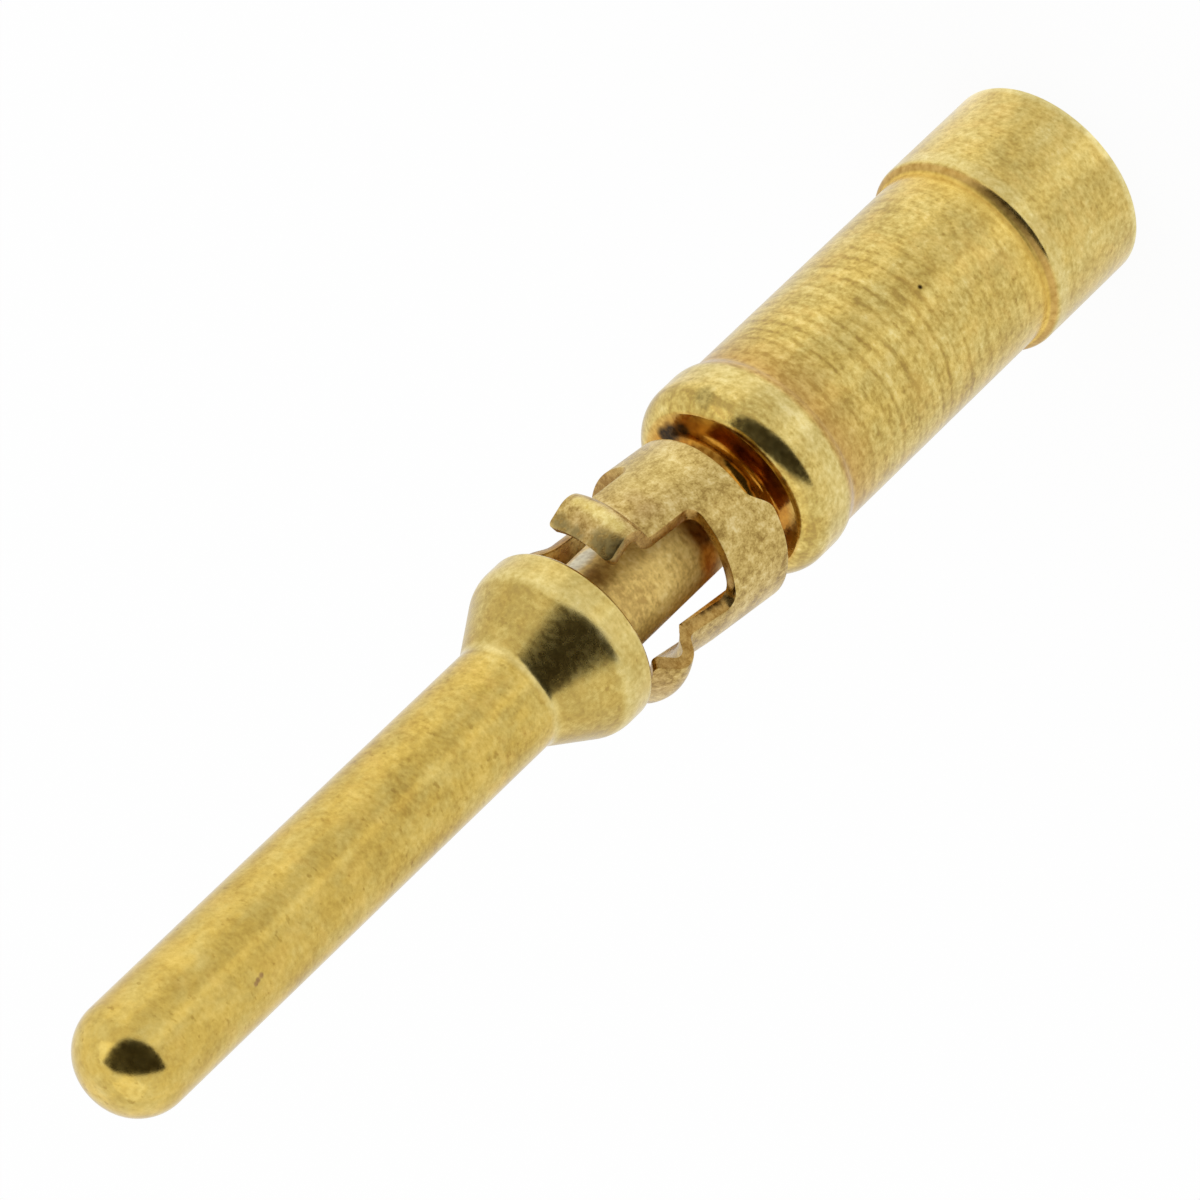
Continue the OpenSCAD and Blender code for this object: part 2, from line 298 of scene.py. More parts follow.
def ring_turns(radius):
    """Angles of the ring's columns, in degrees, and the number of each tine's first column."""
    lean = lambda y: math.degrees(math.asin(y / radius))
    seam, root = lean(SEAM / 2), TINE_HALF + ROOT_FILLET
    turns, starts = [seam - 180], []
    for k, centre in enumerate(TINE_ANGLES):
        tine = [centre + lean(root * (2 * i / TINE_COLS - 1)) for i in range(TINE_COLS + 1)]
        count = WINDOW_COLS if k else SEAM_COLS
        begin = turns[-1]
        turns += [begin + (tine[0] - begin) * i / count for i in range(1, count)]
        starts.append(len(turns))
        turns += tine
    begin = turns[-1]
    turns += [begin + (180 - seam - begin) * i / SEAM_COLS for i in range(1, SEAM_COLS + 1)]
    return turns, starts


def sheet_points(line, widths):
    """Points of one side of the sheet: the ring row by row, then each tine row by row."""
    radius = line[0][0]
    turns, _ = ring_turns(radius)
    points = []
    for row in range(RING_ROWS + 1):
        for turn in turns:
            low = rear_edge(turn, radius)
            height = low + (RING_LEN - low) * row / RING_ROWS
            points.append((radius * cos(turn), radius * sin(turn), height))
    for centre in TINE_ANGLES:
        spin = Matrix.Rotation(math.radians(centre), 3, "Z")
        for (r, z), width in zip(line[1:], widths[1:]):
            for i in range(TINE_COLS + 1):
                y = width * (2 * i / TINE_COLS - 1)
                points.append(tuple(spin @ Vector((math.sqrt(r * r - y * y), y, z))))
    return points


def sheet_cells(rows):
    """Cells of one side of the sheet: those of the ring, and those of the tines."""
    turns, starts = ring_turns(RING_MID)
    cols, across = len(turns), TINE_COLS + 1
    ring, tines = [], []
    for row in range(RING_ROWS):
        for col in range(cols - 1):
            a = row * cols + col
            ring.append((a, a + 1, a + cols + 1, a + cols))
    for k, start in enumerate(starts):
        below = [RING_ROWS * cols + start + i for i in range(across)]
        base = (RING_ROWS + 1) * cols + k * rows * across
        for row in range(rows):
            above = [base + row * across + i for i in range(across)]
            tines += [(below[i], below[i + 1], above[i + 1], above[i]) for i in range(TINE_COLS)]
            below = above
    return ring, tines


def soften(mesh):
    """Rounds the sharp edges of a mesh a little."""
    work = bmesh.new()
    work.from_mesh(mesh)
    bmesh.ops.scale(work, vec=(1 / MM,) * 3, verts=work.verts)
    sharp = [e for e in work.edges if e.calc_face_angle(0) > math.radians(BREAK_FROM)]
    bmesh.ops.bevel(work, geom=sharp, offset=EDGE_BREAK, affect="EDGES", segments=2,
                    profile=0.5, clamp_overlap=True)
    bmesh.ops.scale(work, vec=(MM,) * 3, verts=work.verts)
    work.to_mesh(mesh)
    work.free()
    smooth(mesh, BREAK_SHARP)


def build_clip():
    """The clip as one closed mesh: an inner and an outer skin, and walls along every edge."""
    *lines, widths = sheet_lines()
    inner, outer = (sheet_points(line, widths) for line in lines)
    ring, tines = sheet_cells(len(widths) - 1)
    cells = ring + tines
    edges = {}
    for cell in cells:
        for i in range(4):
            pair = (cell[i - 1], cell[i])
            key = tuple(sorted(pair))
            edges[key] = None if key in edges else pair
    rim = [pair for pair in edges.values() if pair]
    skip = len(inner)
    faces = cells + [tuple(v + skip for v in cell) for cell in cells]
    faces += [(a, b, b + skip, a + skip) for a, b in rim]

    lean = Matrix.Rotation(math.radians(CLIP_LEAN), 4, "Y")
    turn = Matrix.Rotation(math.radians(CLIP_TURN), 4, "Z")
    place = Matrix.Translation((-CLIP_SHIFT, 0, CLIP_Z + CLIP_LEN / 2)) @ lean @ turn
    place = place @ Matrix.Translation((0, 0, -CLIP_LEN / 2))
    verts = [place @ Vector(v) for v in inner + outer]
    obj = mesh_object("formed_clip", verts, faces, CLIP_SHARP)
    skin = [0.0] * len(ring) + [1.0] * len(tines)
    shares = {"tine": skin * 2 + [0.0] * len(rim),
              "cut": [0.0] * (2 * len(cells)) + [1.0] * len(rim)}
    for name, values in shares.items():
        obj.data.attributes.new(name, "FLOAT", "FACE").data.foreach_set("value", values)
    soften(obj.data)
    return obj


# The part of a spot's size that has its full colour
SPOT_CORE = 0.4
# Feed marks of the lathe: pitch in millimetres, how far a noise bends them, how narrow they are
FEED_PITCH, FEED_WANDER, FEED_POWER = 0.213, 8, 3


class Tree:
    """Short calls for building a material's nodes."""

    def __init__(self, name):
        self.material = bpy.data.materials.new(name)
        self.material.use_nodes = True
        self.nodes = self.material.node_tree.nodes
        self.links = self.material.node_tree.links
        self.shader = self.nodes["Principled BSDF"]
        self.coords = self.nodes.new("ShaderNodeTexCoord").outputs["Object"]

    def link(self, source, target):
        self.links.new(source, target)

    def noise(self, scale, detail, rough, shift):
        """Noise in object coordinates; scale is cells per millimetre along each axis."""
        place = self.nodes.new("ShaderNodeMapping")
        place.inputs["Scale"].default_value = [s / MM for s in scale]
        place.inputs["Location"].default_value = shift
        self.link(self.coords, place.inputs["Vector"])
        node = self.nodes.new("ShaderNodeTexNoise")
        node.inputs["Scale"].default_value = 1.0
        node.inputs["Detail"].default_value = detail
        node.inputs["Roughness"].default_value = rough
        self.link(place.outputs["Vector"], node.inputs["Vector"])
        return node.outputs["Fac"]

    def ramp(self, value, stops):
        """Colour ramp: stops are (position, colour)."""
        node = self.nodes.new("ShaderNodeValToRGB")
        ramp = node.color_ramp
        while len(ramp.elements) < len(stops):
            ramp.elements.new(0.5)
        for element, (position, colour) in zip(ramp.elements, stops):
            element.position = position
            element.color = (*colour, 1)
        self.link(value, node.inputs["Fac"])
        return node.outputs["Color"]

    def span(self, value, low, high, to_low=0.0, to_high=1.0):
        """to_low up to a value of low, to_high from high on, and a straight line between."""
        node = self.nodes.new("ShaderNodeMapRange")
        names = ("From Min", "From Max", "To Min", "To Max")
        for name, number in zip(names, (low, high, to_low, to_high)):
            node.inputs[name].default_value = number
        self.link(value, node.inputs["Value"])
        return node.outputs["Result"]

    def math(self, kind, *values):
        """One operation on numbers and node values."""
        node = self.nodes.new("ShaderNodeMath")
        node.operation = kind
        for socket, value in zip(node.inputs, values):
            if isinstance(value, (int, float)):
                socket.default_value = value
            else:
                self.link(value, socket)
        return node.outputs["Value"]

    def total(self, start, *parts):
        """start, plus each (value, weight): the value's distance from one half times its weight."""
        result = start
        for value, weight in parts:
            away = self.math("SUBTRACT", value, 0.5)
            result = self.math("MULTIPLY_ADD", away, weight, result)
        return result

    def blend(self, amount, a, b):
        """Colour a, or b where amount is 1."""
        node = self.nodes.new("ShaderNodeMix")
        node.data_type = "RGBA"
        node.clamp_factor = True
        for name, value in (("Factor_Float", amount), ("A_Color", a), ("B_Color", b)):
            self.link(value, next(s for s in node.inputs if s.identifier == name))
        return next(s for s in node.outputs if s.identifier == "Result_Color")

    def near(self, point, size):
        """1 at a point, given in millimetres, and 0 from a distance of size on."""
        node = self.nodes.new("ShaderNodeVectorMath")
        node.operation = "DISTANCE"
        self.link(self.coords, node.inputs[0])
        node.inputs[1].default_value = [c * MM for c in point]
        return self.span(node.outputs["Value"], size * MM, SPOT_CORE * size * MM)

    def spotted(self, colour, shade, share, spots):
        """The colour with a share of a shade in spots, which are (place, size)."""
        for place, size in spots:
            amount = self.math("MULTIPLY", self.near(place, size), share)
            colour = self.blend(amount, colour, shade)
        return colour

    def share(self, name):
        """A value stored with the mesh."""
        node = self.nodes.new("ShaderNodeAttribute")
        node.attribute_name = name
        return node.outputs["Fac"]

    def height(self):
        """Height above the rear face, in metres."""
        node = self.nodes.new("ShaderNodeSeparateXYZ")
        self.link(self.coords, node.inputs["Vector"])
        return node.outputs["Z"]

    def radius(self):
        """Distance from the axis, in metres."""
        node = self.nodes.new("ShaderNodeVectorMath")
        node.operation = "MULTIPLY"
        node.inputs[1].default_value = (1, 1, 0)
        self.link(self.coords, node.inputs[0])
        length = self.nodes.new("ShaderNodeVectorMath")
        length.operation = "LENGTH"
        self.link(node.outputs["Vector"], length.inputs[0])
        return length.outputs["Value"]

    def along(self, stops):
        """A value that follows the height: stops are (height in millimetres, value)."""
        low, high = stops[0][0], stops[-1][0]
        share = self.span(self.height(), low * MM, high * MM)
        return self.ramp(share, [((z - low) / (high - low), (v, v, v)) for z, v in stops])

    def feed_marks(self, wander):
        """Fine rings along the axis, 1 on each ring's narrow line; wander bends them a little."""
        turn = self.math("MULTIPLY", self.height(), 2 * math.pi / (FEED_PITCH * MM))
        turn = self.math("MULTIPLY_ADD", wander, FEED_WANDER, turn)
        wave = self.math("MULTIPLY_ADD", self.math("SINE", turn), 0.5, 0.5)
        return self.math("POWER", wave, FEED_POWER)

    def bump(self, value, depth):
        """Relief on the shader: the value times a depth in millimetres."""
        node = self.nodes.new("ShaderNodeBump")
        node.inputs["Strength"].default_value = 1.0
        node.inputs["Distance"].default_value = depth * MM
        self.link(value, node.inputs["Height"])
        self.link(node.outputs["Normal"], self.shader.inputs["Normal"])

    def surface(self, amount, a, b):
        """The material's surface: shader a, or b where amount is 1."""
        both = self.nodes.new("ShaderNodeMixShader")
        self.link(amount, both.inputs["Fac"])
        self.link(a, both.inputs[1])
        self.link(b, both.inputs[2])
        self.link(both.outputs["Shader"], self.nodes["Material Output"].inputs["Surface"])


# Noises of the plating: cells per millimetre, detail, roughness, shift
BODY_NOISES = {
    "fleck": ((10.5, 10.5, 15), 3, 0.5, (0, 0, 0)),
    "grain": ((22, 22, 22), 2, 0.5, (4.3, 1.9, 2.2)),
    "lines": ((0.8, 0.8, 8), 3, 0.6, (1.2, 0.3, 5.5)),
    "patches": ((2.6, 2.6, 1.6), 3, 0.55, (3.1, 7.4, 0.8)),
    "hue": ((3.5, 3.5, 2.4), 3, 0.6, (8.8, 1.1, 6.2)),
    "specks": ((7, 7, 10), 2, 0.5, (2.2, 9.1, 3.3)),
    "mask": ((1.1, 1.1, 3), 3, 0.6, (7.7, 3.2, 1.4)),
    "wander": ((0.5, 0.5, 0.6), 2, 0.5, (0.7, 4.4, 2.9)),
    "flush": ((2.2, 2.2, 3.5), 3, 0.6, (6.1, 2.7, 9.4)),
}
CLIP_NOISES = {
    "mottle": ((11, 11, 11), 4, 0.58, (0, 0, 0)),
    "grain": ((34, 34, 34), 2, 0.5, (4.3, 1.9, 2.2)),
    "patches": ((2.4, 2.4, 2.4), 2, 0.5, (5.1, 2.4, 1.8)),
}
# Where in a noise's range something begins and where it is full; for the stains, also their
# shares at these two places
SPECKS_SPAN, MASK_SPAN = (0.64, 0.74), (0.38, 0.62)
HUE_SPAN, FLUSH_SPAN = (0.35, 0.65), (0.52, 0.68)
STAIN_SPAN = (0.40, 0.56, 0.2, 0.95)
# Weights of the body's noises in tone, roughness and relief, and the relief in millimetres
PATCHES_TONE, SPECKS_TONE = 0.22, 0.08
FLECK_ROUGH, PATCHES_ROUGH = 0.2, 0.1
FLECK_RELIEF, GRAIN_RELIEF, BODY_RELIEF = 0.5, 0.2, 0.002
# The same for the clip, with its roughness and the share of rust on its tines
MOTTLE_TONE, CLIP_PATCHES_TONE, CLIP_GRAIN_TONE = 0.6, 0.4, 0.3
CLIP_ROUGH, MOTTLE_ROUGH, CLIP_RELIEF, TINE_RUST = 0.30, 0.3, 0.004, 0.2
# Shares of the painted shade in deep gold on the bead's face, at and outside the first radius in
# millimetres, and at and inside the second
FACE_RADII, FACE_SHARES = (1.22, 1.06), (0.35, 1)

# Values of the body's plating along its height: (height in millimetres, value)
BODY_HEIGHTS = {
    # Depth of the feed marks, and weights of three noises in the tone
    "turned": [
        (0, 0.02), (BARREL_Z, 0.02), (BARREL_Z + 0.5, 0.06), (BEAD_Z - 2, 0.11),
        (BEAD_Z - 0.1, 0.11), (BEAD_Z + 0.1, 0.02), (FLANGE_Z, 0.02), (PIN_Z + 0.3, 0.03),
        (TIP_Z - 1, 0.01)],
    "lined": [
        (0, 0.15), (BARREL_Z, 0.12), (BEAD_Z - 2, 0.25), (NECK_Z, 0.25), (FLANGE_Z, 0.1),
        (PIN_Z, 0.05)],
    "flecked": [
        (0, 0.36), (BEAD_Z, 0.42), (NECK_Z, 0.40), (FLANGE_Z, 0.32), (PIN_Z, 0.26),
        (TIP_Z, 0.16)],
    "grained": [(0, 0.16), (NECK_Z, 0.18), (FLANGE_Z, 0.14), (PIN_Z, 0.12), (TIP_Z, 0.07)],
    # Painted shade and painted light: how much darker the tone is, or brighter where it is below 0
    "painted_shade_and_light": [
        (BARREL_Z - 0.09, 0), (BARREL_Z - 0.05, -0.08), (BARREL_Z + 0.08, -0.06),
        (BARREL_Z + 0.2, 0), (NECK_Z - 0.32, 0), (NECK_Z - 0.2, 0.08), (NECK_Z - 0.06, 0.08),
        (NECK_Z, 0), (NECK_Z + 1.2, 0), (NECK_Z + 1.4, -0.06), (NECK_Z + 2, -0.05),
        (NECK_Z + 2.4, 0.05), (FLANGE_Z - 0.05, 0.05), (FLANGE_Z, 0), (CREST_Z + 0.2, 0),
        (CONE_Z, 0.08), (PIN_Z - 0.1, 0.07), (PIN_Z, 0)],
    # Shares of the orange gold and of the orange patches; the orange on the collar's foot is
    # painted light
    "warm": [
        (0, -0.15), (BARREL_Z - 0.08, -0.15), (BARREL_Z - 0.04, 0.6), (BARREL_Z + 0.15, 0.5),
        (BARREL_Z + 0.5, -0.1), (BEAD_Z, -0.1), (FLANGE_Z, 0), (PIN_Z - 0.1, -0.2),
        (PIN_Z, 0.2), (TIP_Z - 1, 0.25), (TIP_Z, 0.1)],
    "flushed": [
        (0, 0.55), (BEAD_Z, 0.55), (BEAD_Z + 0.2, 0.1), (NECK_Z, 0), (FLANGE_Z, 0),
        (PIN_Z, 0.45), (TIP_Z - 1, 0.3), (TIP_Z, 0)],
    # Pale edges with painted highlights, painted shade in the corner behind the bead, the collar's
    # shoulder, and a painted highlight on the corner at its foot
    "pale_and_highlit": [
        (0, 0.9), (0.06, 0.8), (0.12, 0.2), (COLLAR_LEN - 0.2, 0.16), (COLLAR_LEN - 0.13, 0.5),
        (COLLAR_LEN + 0.03, 0.5), (COLLAR_LEN + 0.08, 0), (BARREL_Z + 0.2, 0.14),
        (BEAD_Z + 0.2, 0.14), (BEAD_Z + 0.28, 0.5), (BEAD_Z + 0.45, 0.45), (NECK_Z - 0.4, 0.25),
        (NECK_Z - 0.1, 0.25), (NECK_Z, 0.1), (FLANGE_Z - 0.02, 0), (FLANGE_Z + 0.04, 0.3),
        (CREST_Z, 0.3), (CREST_Z + 0.1, 0.48), (CONE_Z - 0.08, 0.48), (CONE_Z, 0.22),
        (PIN_Z - 0.08, 0.22), (PIN_Z, 0.5), (PIN_Z + 0.1, 0)],
    # Painted shade in the concave corner behind the bead, reaching onto the barrel's front
    "rust_and_shade": [
        (BEAD_Z - 0.6, 0), (BEAD_Z - 0.12, 0.65), (BEAD_Z, 0.9), (BEAD_Z + 0.18, 0.9),
        (BEAD_Z + 0.27, 0)],
    "shouldered": [
        (COLLAR_LEN + 0.04, 0), (COLLAR_LEN + 0.08, 0.95), (BARREL_Z - 0.06, 0.8),
        (BARREL_Z - 0.035, 0)],
    # Painted highlight: bright honey gold on the fillet at the collar's foot
    "foot_highlight": [
        (BARREL_Z - 0.06, 0), (BARREL_Z - 0.035, 0.9), (BARREL_Z + 0.06, 0.8),
        (BARREL_Z + 0.15, 0.4), (BARREL_Z + 0.4, 0)],
    # The neck's dull film, and painted shade in deep gold between the bead and the clip
    "necked": [
        (NECK_Z + 0.3, 0), (NECK_Z + 0.9, 1), (FLANGE_Z - 0.1, 1), (FLANGE_Z - 0.02, 0)],
    "painted_gap_shade": [
        (NECK_Z - 0.015, 0), (NECK_Z - 0.004, 1), (NECK_Z + 0.3, 1), (NECK_Z + 0.9, 0)],
    # How metallic and how rough it is
    "metal": [
        (NECK_Z + 1.2, 1), (NECK_Z + 1.4, 0.4), (FLANGE_Z - 0.2, 0.4), (FLANGE_Z - 0.02, 1)],
    "rough": [
        (0, 0.22), (BARREL_Z - 0.08, 0.22), (BARREL_Z - 0.05, 0.6), (BARREL_Z + 0.04, 0.6),
        (BARREL_Z + 0.1, 0.22), (NECK_Z - 0.05, 0.20), (NECK_Z - 0.02, 0.14),
        (NECK_Z + 0.3, 0.16), (NECK_Z + 0.9, 0.45), (FLANGE_Z - 0.1, 0.45),
        (FLANGE_Z + 0.05, 0.2), (CREST_Z, 0.2), (CONE_Z, 0.26), (PIN_Z - 0.1, 0.26),
        (PIN_Z, 0.19), (TIP_Z, 0.17)],
}

# Colours of the plating by its tone: (tone, colour)
BODY_SHADES = {
    "yellow": [
        (0.34, (0.37, 0.235, 0.055)), (0.43, (0.51, 0.36, 0.085)), (0.50, (0.64, 0.48, 0.134)),
        (0.57, (0.76, 0.59, 0.19)), (0.68, (0.89, 0.75, 0.34))],
    "orange": [
        (0.34, (0.36, 0.21, 0.04)), (0.43, (0.52, 0.345, 0.07)), (0.50, (0.66, 0.462, 0.102)),
        (0.57, (0.79, 0.57, 0.148)), (0.68, (0.92, 0.72, 0.28))],
    "peach": [(0.40, (0.58, 0.36, 0.075)), (0.60, (0.88, 0.62, 0.17))],
    "lemon": [(0.40, (0.74, 0.60, 0.20)), (0.60, (0.93, 0.82, 0.42))],
    "rust": [(0.40, (0.45, 0.26, 0.06)), (0.60, (0.69, 0.45, 0.135))],
    "honey": [(0.40, (0.72, 0.47, 0.09)), (0.60, (0.98, 0.72, 0.19))],
    "buff": [
        (0.40, (0.54, 0.34, 0.08)), (0.50, (0.80, 0.56, 0.155)), (0.60, (0.95, 0.73, 0.28))],
    "deep": [(0.40, (0.46, 0.19, 0.018)), (0.60, (0.70, 0.34, 0.045))],
}
CLIP_SHADES = {
    "plate": [
        (0.34, (0.33, 0.205, 0.052)), (0.43, (0.46, 0.31, 0.088)), (0.50, (0.595, 0.425, 0.132)),
        (0.57, (0.72, 0.535, 0.195)), (0.68, (0.87, 0.70, 0.33))],
    "edge": [(0.40, (0.32, 0.175, 0.04)), (0.60, (0.56, 0.36, 0.11))],
    "rust": [
        (0.34, (0.22, 0.12, 0.03)), (0.50, (0.40, 0.25, 0.08)), (0.68, (0.66, 0.47, 0.19))],
    "orange": [(0.34, (0.30, 0.13, 0.02)), (0.68, (0.55, 0.28, 0.05))],
    "yellow": [(0.34, (0.70, 0.52, 0.13)), (0.68, (0.98, 0.84, 0.36))],
}
# Colours of the marks by a noise: the noise, and (its value, colour)
BODY_MARK_SHADES = {
    "dark": ("grain", [(0.4, (0.02, 0.011, 0.003)), (0.6, (0.06, 0.032, 0.008))]),
    "ruddy": ("grain", [(0.4, (0.20, 0.10, 0.05)), (0.6, (0.34, 0.19, 0.08))]),
    "olive": ("fleck", [(0.4, (0.20, 0.16, 0.05)), (0.6, (0.42, 0.33, 0.11))]),
    "chalk": ("fleck", [(0.4, (0.64, 0.56, 0.38)), (0.6, (0.84, 0.78, 0.58))]),
    "umber": ("fleck", [(0.4, (0.16, 0.06, 0.005)), (0.6, (0.28, 0.13, 0.02))]),
    "amber": ("fleck", [(0.4, (0.70, 0.34, 0.02)), (0.6, (0.95, 0.55, 0.08))]),
}
CLIP_MARK_SHADES = {
    "dark": ("mottle", [(0.35, (0.06, 0.045, 0.018)), (0.6, (0.30, 0.22, 0.08))]),
    "brown": ("mottle", [(0.35, (0.09, 0.045, 0.01)), (0.6, (0.20, 0.11, 0.03))]),
}

# Marks in the plating, and painted shade, highlights and a reflection, in millimetres: place and
# size of each spot
PITS = (((0.134, -1.389, 3.609), 0.045),)
SMEAR = (((-0.396, -0.68, 17.337), 0.045), ((-0.38, -0.69, 17.285), 0.05),
         ((-0.365, -0.698, 17.21), 0.05))
STAINS = (((1.03, -0.99, 6.93), 0.2), ((0.85, -0.95, 6.95), 0.12))
# Painted highlight: a pale patch on the neck
NECK_PAINTED_HIGHLIGHT = (((0.614, -0.336, 9.7), 0.2), ((0.617, -0.33, 9.57), 0.22),
             ((0.619, -0.327, 9.44), 0.2))
# Painted shade on the neck between the middle tine's hook and the flange
NECK_PAINTED_SHADE = (((0.33, -0.617, 9.66), 0.26), ((0.328, -0.618, 9.83), 0.24))
# Painted shade on the neck at the corner of the clip's window, next to the ring
NECK_CORNER_SHADE = (((-0.1, -0.69, 8.2), 0.24), ((-0.25, -0.655, 8.15), 0.22))
# Painted reflection: orange light on the neck, as from the ring's inner side
NECK_PAINTED_REFLECTION = (((-0.478, -0.511, 8.25), 0.22), ((-0.54, -0.445, 8.25), 0.2))
# Painted shade on the bead's face in the gap before the clip, towards +X
GAP_PAINTED_SHADE = (((0.99, -0.14, 7.093), 0.19), ((0.98, 0.04, 7.093), 0.18),
            ((0.92, -0.34, 7.093), 0.17), ((1.03, 0.03, 7.093), 0.16))
# Painted shade on the neck's fillet just behind the clip's ring
GAP_FILLET_SHADE = (((0.696, -0.226, 7.22), 0.13), ((0.634, -0.366, 7.22), 0.13),
             ((0.561, -0.47, 7.22), 0.13), ((0.47, -0.561, 7.22), 0.13),
             ((0.366, -0.634, 7.22), 0.14), ((0.25, -0.688, 7.22), 0.14))
# Brown patches on the tines; those at the middle tine's base are painted shade of its root's crease
TINE_BROWN_AND_SHADE = (((0.71, -1.19, 9.8), 0.24), ((0.86, -1.14, 9.74), 0.2), ((1, -1.05, 9.69), 0.2),
              ((-1.08, -0.57, 10), 0.3), ((-1.18, -0.27, 10.01), 0.3), ((-1.36, -0.16, 9.83), 0.3),
              ((0.74, -1, 8.76), 0.17), ((0.6, -1.09, 8.79), 0.2), ((0.45, -1.16, 8.8), 0.2),
              ((0.5, -1.14, 8.95), 0.18))
TINE_ORANGE = (((0.838, 0.72, 9), 0.22), ((0.836, 0.73, 9.15), 0.2))
# Painted highlight: a yellow band along the middle tine's crest
TINE_CREST_HIGHLIGHT = (((1.15, -1.03, 9.42), 0.13), ((1.02, -1.16, 9.44), 0.14),
               ((0.88, -1.27, 9.47), 0.14), ((0.73, -1.36, 9.49), 0.14),
               ((0.59, -1.42, 9.5), 0.12))
RING_PALE = (((0.95, -0.85, 8.25), 0.75),)
CLIP_STAINS = (((0.49, -1.31, 9.78), 0.24), ((0.62, -1.27, 9.75), 0.2), ((0.44, -1.41, 9.64), 0.12),
               ((0.88, -1.06, 9.8), 0.16), ((1.03, -0.94, 9.78), 0.12), ((1.15, -0.86, 9.73), 0.15))
# Painted shadow along the inner half of a tine's cut edge, near its root
EDGE_PAINTED_SHADOW = (((-0.95, -0.6, 8.6), 0.09), ((-0.935, -0.59, 8.72), 0.085),
               ((-0.93, -0.59, 8.84), 0.075), ((-0.92, -0.59, 8.96), 0.06))
# Shade and share of each kind of mark and painted light, in the order in which they lie on each
# other
BODY_MARKS = (("dark", 1, PITS), ("ruddy", 0.8, SMEAR), ("olive", 0.6, STAINS),
              ("chalk", 0.9, NECK_PAINTED_HIGHLIGHT), ("umber", 0.5, NECK_PAINTED_SHADE), ("umber", 0.85, NECK_CORNER_SHADE),
              ("amber", 0.95, NECK_PAINTED_REFLECTION), ("dark", 0.95, GAP_PAINTED_SHADE), ("umber", 0.9, GAP_FILLET_SHADE))
CLIP_MARKS = (("rust", 0.5, TINE_BROWN_AND_SHADE), ("orange", 0.7, TINE_ORANGE),
              ("yellow", 0.75, TINE_CREST_HIGHLIGHT), ("yellow", 0.3, RING_PALE))


def body_material():
    """Satin gold: flecks and feed marks on the barrel, mottling on the pin, a dull neck."""
    tree = Tree("body plating")
    noise = {name: tree.noise(*values) for name, values in BODY_NOISES.items()}
    at = {name: tree.along(stops) for name, stops in BODY_HEIGHTS.items()}
    marks = tree.math(
        "MULTIPLY", tree.feed_marks(noise["wander"]), tree.span(noise["mask"], *MASK_SPAN))
    marks = tree.math("MULTIPLY", marks, at["turned"])
    specks = tree.math("MULTIPLY", tree.span(noise["specks"], *SPECKS_SPAN), SPECKS_TONE)
    tone = tree.total(
        0.5, (noise["fleck"], at["flecked"]), (noise["lines"], at["lined"]),
        (noise["patches"], PATCHES_TONE), (noise["grain"], at["grained"]))
    # Painted shade and light along the height, the feed marks and the specks darken the tone
    for darker in (at["painted_shade_and_light"], marks, specks):
        tone = tree.math("SUBTRACT", tone, darker)

    shades = {name: tree.ramp(tone, stops) for name, stops in BODY_SHADES.items()}
    warm = tree.math("ADD", tree.span(noise["hue"], *HUE_SPAN), at["warm"])
    flush = tree.math("MULTIPLY", tree.span(noise["flush"], *FLUSH_SPAN), at["flushed"])
    # Painted shade in deep gold in the gap, fuller nearer the neck
    face = tree.span(tree.radius(), *(r * MM for r in FACE_RADII), *FACE_SHARES)
    depth = tree.math("MULTIPLY", at["painted_gap_shade"], face)
    colour = shades["yellow"]
    for amount, name in (
            (warm, "orange"), (flush, "peach"), (at["pale_and_highlit"], "lemon"), (at["rust_and_shade"], "rust"),
            (at["shouldered"], "rust"), (at["foot_highlight"], "honey"), (at["necked"], "buff"),
            (depth, "deep")):
        colour = tree.blend(amount, colour, shades[name])
    shades = {name: tree.ramp(noise[by], stops) for name, (by, stops) in BODY_MARK_SHADES.items()}
    # Real marks, then painted shade, painted highlights and a painted reflection
    for name, share, spots in BODY_MARKS:
        colour = tree.spotted(colour, shades[name], share, spots)

    tree.link(colour, tree.shader.inputs["Base Color"])
    tree.link(at["metal"], tree.shader.inputs["Metallic"])
    rough = tree.total(
        at["rough"], (noise["fleck"], FLECK_ROUGH), (noise["patches"], PATCHES_ROUGH))
    tree.link(rough, tree.shader.inputs["Roughness"])
    relief = tree.total(0.5, (noise["fleck"], FLECK_RELIEF), (noise["grain"], GRAIN_RELIEF))
    tree.bump(tree.math("SUBTRACT", relief, marks), BODY_RELIEF)
    return tree.material


